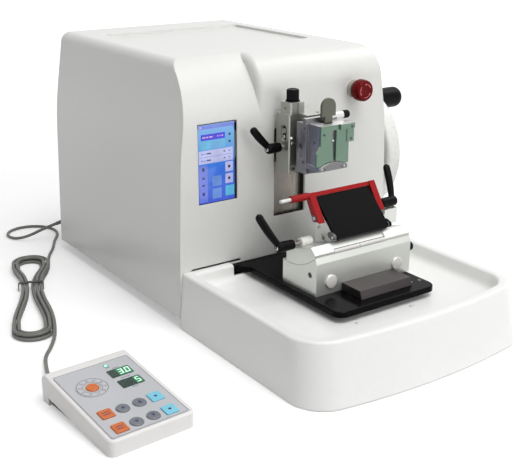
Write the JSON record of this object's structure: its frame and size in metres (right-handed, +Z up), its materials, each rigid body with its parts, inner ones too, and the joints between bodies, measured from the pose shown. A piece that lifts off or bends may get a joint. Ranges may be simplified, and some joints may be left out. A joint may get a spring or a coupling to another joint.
{
  "type": "automatic rotary microtome",
  "caption": "Automatic rotary microtome with touch screen, disposable blade holder, cassette clamp, side handwheel, slide-off waste tray and a wired control handset.",
  "frame": {"origin": "middle of the floor plan of the instrument with its handset, on the bench surface", "axes": "+X to the operator's right, +Y from the operator towards the back, +Z up"},
  "size_m": [0.6388, 0.7707, 0.331],
  "materials": {
    "white_shell": "gloss moulded shell",
    "white_wheel": "gloss",
    "black_coat": "satin black coating",
    "black_plastic": "fine matt",
    "black_rubber": "matt",
    "cable_sheath": "satin",
    "grey_casting": "textured paint",
    "steel": "ground",
    "bright_steel": "polished",
    "silver_alloy": "bead blasted and anodised",
    "dark_alloy": "brushed",
    "green_alloy": "tinted anodised",
    "lilac_alloy": "satin anodised",
    "olive_alloy": "satin",
    "red_alloy": "red anodised",
    "red_plastic": "gloss",
    "screen_glass": "lit panel under a clear front",
    "panel_foil": "satin keypad foil",
    "orange_key": "satin",
    "grey_key": "satin",
    "blue_key": "satin",
    "green_display": "dark window with lit digits"
  },
  "bodies": {
    "body": {"base_casting": "grey_casting", "rubber_feet": "black_rubber", "housing_cover": "white_shell", "rear_panel": "grey_casting", "rear_sockets": "black_plastic", "touch_screen": "screen_glass", "stop_collar": "black_plastic", "main_frame": "grey_casting", "shaft_bearings": "steel", "guide_rails": "steel", "drive_motor": "black_coat", "drive_belt": "black_rubber", "knife_plate": "black_coat", "handset_case": "white_shell", "handset_base": "black_plastic", "keypad_panel": "panel_foil", "number_displays": "green_display", "cable_boots": "cable_sheath", "cable_run_rear": "cable_sheath", "cable_hank": "cable_sheath", "cable_tie": "black_plastic", "cable_run_front": "cable_sheath"},
    "tray": {"waste_tray": "white_shell"},
    "wheel": {"main_shaft": "steel", "crank_pulley": "silver_alloy", "handwheel": "white_wheel"},
    "grip": {"wheel_grip": "black_plastic"},
    "rotor": {"motor_pulley": "silver_alloy"},
    "stop": {"stop_head": "red_plastic"},
    "slide": {"vertical_slide": "steel"},
    "feed": {"feed_ram": "steel", "head_column": "silver_alloy"},
    "cradle": {"orient_cradle": "dark_alloy"},
    "swivel_knob": {"top_knob": "black_plastic"},
    "clamp": {"cassette_clamp": "lilac_alloy"},
    "clamp_knob": {"tilt_knob": "black_plastic"},
    "head_lever": {"column_lever": "black_coat"},
    "jaw": {"clamp_jaw": "green_alloy"},
    "jaw_lever": {"clamp_lever": "olive_alloy"},
    "knife_block": {"knife_base": "silver_alloy", "base_plugs": "silver_alloy", "front_bar": "dark_alloy"},
    "block_knob": {"base_knob": "black_plastic"},
    "segment": {"knife_segment": "silver_alloy"},
    "tilt_lever": {"segment_lever": "black_coat"},
    "carriage": {"blade_carriage": "silver_alloy", "blade": "bright_steel"},
    "press": {"pressure_plate": "black_coat"},
    "side_lever": {"blade_lever": "black_coat"},
    "guard": {"finger_guard": "red_alloy", "guard_pin": "white_wheel"},
    "button_stop": {"key_stop": "orange_key"},
    "button_orange_11": {"key_orange_11": "orange_key"},
    "button_dome_12": {"key_dome_12": "grey_key"},
    "button_dome_13": {"key_dome_13": "grey_key"},
    "button_blue_14": {"key_blue_14": "blue_key"},
    "button_orange_21": {"key_orange_21": "orange_key"},
    "button_dome_22": {"key_dome_22": "grey_key"},
    "button_dome_23": {"key_dome_23": "grey_key"},
    "button_blue_24": {"key_blue_24": "blue_key"}
  },
  "joints": [
    {"name": "tray_slide", "type": "slide", "parent": "body", "child": "tray", "axis": [0, -1, 0], "range_m": [0, 0.28]},
    {"name": "handwheel_turn", "type": "hinge", "parent": "body", "child": "wheel", "pos_m": [0.24613, 0.0455, 0.167], "axis": [1, 0, 0], "continuous": true},
    {"name": "grip_spin", "type": "hinge", "parent": "wheel", "child": "grip", "pos_m": [0.27014, 0.0205, 0.239], "axis": [1, 0, 0], "continuous": true},
    {"name": "motor_spin", "type": "hinge", "parent": "body", "child": "rotor", "pos_m": [0.11013, 0.1805, 0.11], "axis": [1, 0, 0], "continuous": true},
    {"name": "stop_press", "type": "slide", "parent": "body", "child": "stop", "axis": [0, 1, 0], "range_m": [0, 0.003], "stiffness_N_per_m": 1500, "springref_m": -0.003},
    {"name": "head_stroke", "type": "slide", "parent": "body", "child": "slide", "axis": [0, 0, 1], "range_m": [-0.061, 0.006]},
    {"name": "feed_advance", "type": "slide", "parent": "slide", "child": "feed", "axis": [0, -1, 0], "range_m": [0, 0.028]},
    {"name": "head_swivel", "type": "hinge", "parent": "feed", "child": "cradle", "pos_m": [0.06613, -0.0935, 0.188], "axis": [0, 0, 1], "range_deg": [-8, 8]},
    {"name": "swivel_screw", "type": "hinge", "parent": "feed", "child": "swivel_knob", "pos_m": [0.05013, -0.076, 0.277], "axis": [0, 0, 1], "range_deg": [-96, 96]},
    {"name": "head_tilt", "type": "hinge", "parent": "cradle", "child": "clamp", "pos_m": [0.04213, -0.1035, 0.226], "axis": [1, 0, 0], "range_deg": [-8, 8]},
    {"name": "tilt_screw", "type": "hinge", "parent": "clamp", "child": "clamp_knob", "pos_m": [0.10164, -0.1095, 0.26], "axis": [1, 0, 0], "range_deg": [-96, 96]},
    {"name": "head_lock", "type": "hinge", "parent": "feed", "child": "head_lever", "pos_m": [0.03413, -0.0715, 0.22], "axis": [1, 0, 0], "range_deg": [0, 70]},
    {"name": "jaw_lift", "type": "slide", "parent": "clamp", "child": "jaw", "axis": [0, 0, 1], "range_m": [0, 0.004]},
    {"name": "jaw_release", "type": "hinge", "parent": "clamp", "child": "jaw_lever", "pos_m": [0.06814, -0.1235, 0.241], "axis": [-1, 0, 0], "range_deg": [0, 12]},
    {"name": "knife_approach", "type": "slide", "parent": "body", "child": "knife_block", "axis": [0, 1, 0], "range_m": [-0.014, 0.012]},
    {"name": "block_lock", "type": "hinge", "parent": "knife_block", "child": "block_knob", "pos_m": [0.14414, -0.1915, 0.1005], "axis": [1, 0, 0], "range_deg": [-180, 180]},
    {"name": "knife_tilt", "type": "hinge", "parent": "knife_block", "child": "segment", "pos_m": [0.06413, -0.146, 0.173], "axis": [1, 0, 0], "range_deg": [-5, 5]},
    {"name": "segment_lock", "type": "hinge", "parent": "segment", "child": "tilt_lever", "pos_m": [-0.00717, -0.1565, 0.1245], "axis": [1, 0, 0], "range_deg": [0, 80]},
    {"name": "blade_shift", "type": "slide", "parent": "segment", "child": "carriage", "axis": [1, 0, 0], "range_m": [-0.008, 0.006]},
    {"name": "plate_open", "type": "hinge", "parent": "carriage", "child": "press", "pos_m": [0.06413, -0.18751, 0.1346], "axis": [1, 0, 0], "range_deg": [0, 18]},
    {"name": "blade_clamp", "type": "hinge", "parent": "carriage", "child": "side_lever", "pos_m": [0.12613, -0.1615, 0.153], "axis": [1, 0, 0], "range_deg": [0, 60]},
    {"name": "guard_fold", "type": "hinge", "parent": "carriage", "child": "guard", "pos_m": [0.06413, -0.1615, 0.153], "axis": [1, 0, 0], "range_deg": [0, 110]},
    {"name": "button_stop_press", "type": "slide", "parent": "body", "child": "button_stop", "axis": [-0.0058, 0.104, -0.9946], "range_m": [0, 0.0008], "stiffness_N_per_m": 1500, "springref_m": -0.0005},
    {"name": "button_orange_11_press", "type": "slide", "parent": "body", "child": "button_orange_11", "axis": [-0.0058, 0.104, -0.9946], "range_m": [0, 0.0008], "stiffness_N_per_m": 1500, "springref_m": -0.0005},
    {"name": "button_dome_12_press", "type": "slide", "parent": "body", "child": "button_dome_12", "axis": [-0.0058, 0.104, -0.9946], "range_m": [0, 0.0008], "stiffness_N_per_m": 1500, "springref_m": -0.0005},
    {"name": "button_dome_13_press", "type": "slide", "parent": "body", "child": "button_dome_13", "axis": [-0.0058, 0.104, -0.9946], "range_m": [0, 0.0008], "stiffness_N_per_m": 1500, "springref_m": -0.0005},
    {"name": "button_blue_14_press", "type": "slide", "parent": "body", "child": "button_blue_14", "axis": [-0.0058, 0.104, -0.9946], "range_m": [0, 0.0008], "stiffness_N_per_m": 1500, "springref_m": -0.0005},
    {"name": "button_orange_21_press", "type": "slide", "parent": "body", "child": "button_orange_21", "axis": [-0.0058, 0.104, -0.9946], "range_m": [0, 0.0008], "stiffness_N_per_m": 1500, "springref_m": -0.0005},
    {"name": "button_dome_22_press", "type": "slide", "parent": "body", "child": "button_dome_22", "axis": [-0.0058, 0.104, -0.9946], "range_m": [0, 0.0008], "stiffness_N_per_m": 1500, "springref_m": -0.0005},
    {"name": "button_dome_23_press", "type": "slide", "parent": "body", "child": "button_dome_23", "axis": [-0.0058, 0.104, -0.9946], "range_m": [0, 0.0008], "stiffness_N_per_m": 1500, "springref_m": -0.0005},
    {"name": "button_blue_24_press", "type": "slide", "parent": "body", "child": "button_blue_24", "axis": [-0.0058, 0.104, -0.9946], "range_m": [0, 0.0008], "stiffness_N_per_m": 1500, "springref_m": -0.0005}
  ],
  "couplings": [
    {"joint": "motor_spin", "follows": "handwheel_turn", "ratio": 3.3333},
    {"joint": "swivel_screw", "follows": "head_swivel", "ratio": 12},
    {"joint": "tilt_screw", "follows": "head_tilt", "ratio": 12},
    {"joint": "jaw_release", "follows": "jaw_lift", "rad_per_m": 52.36}
  ]
}
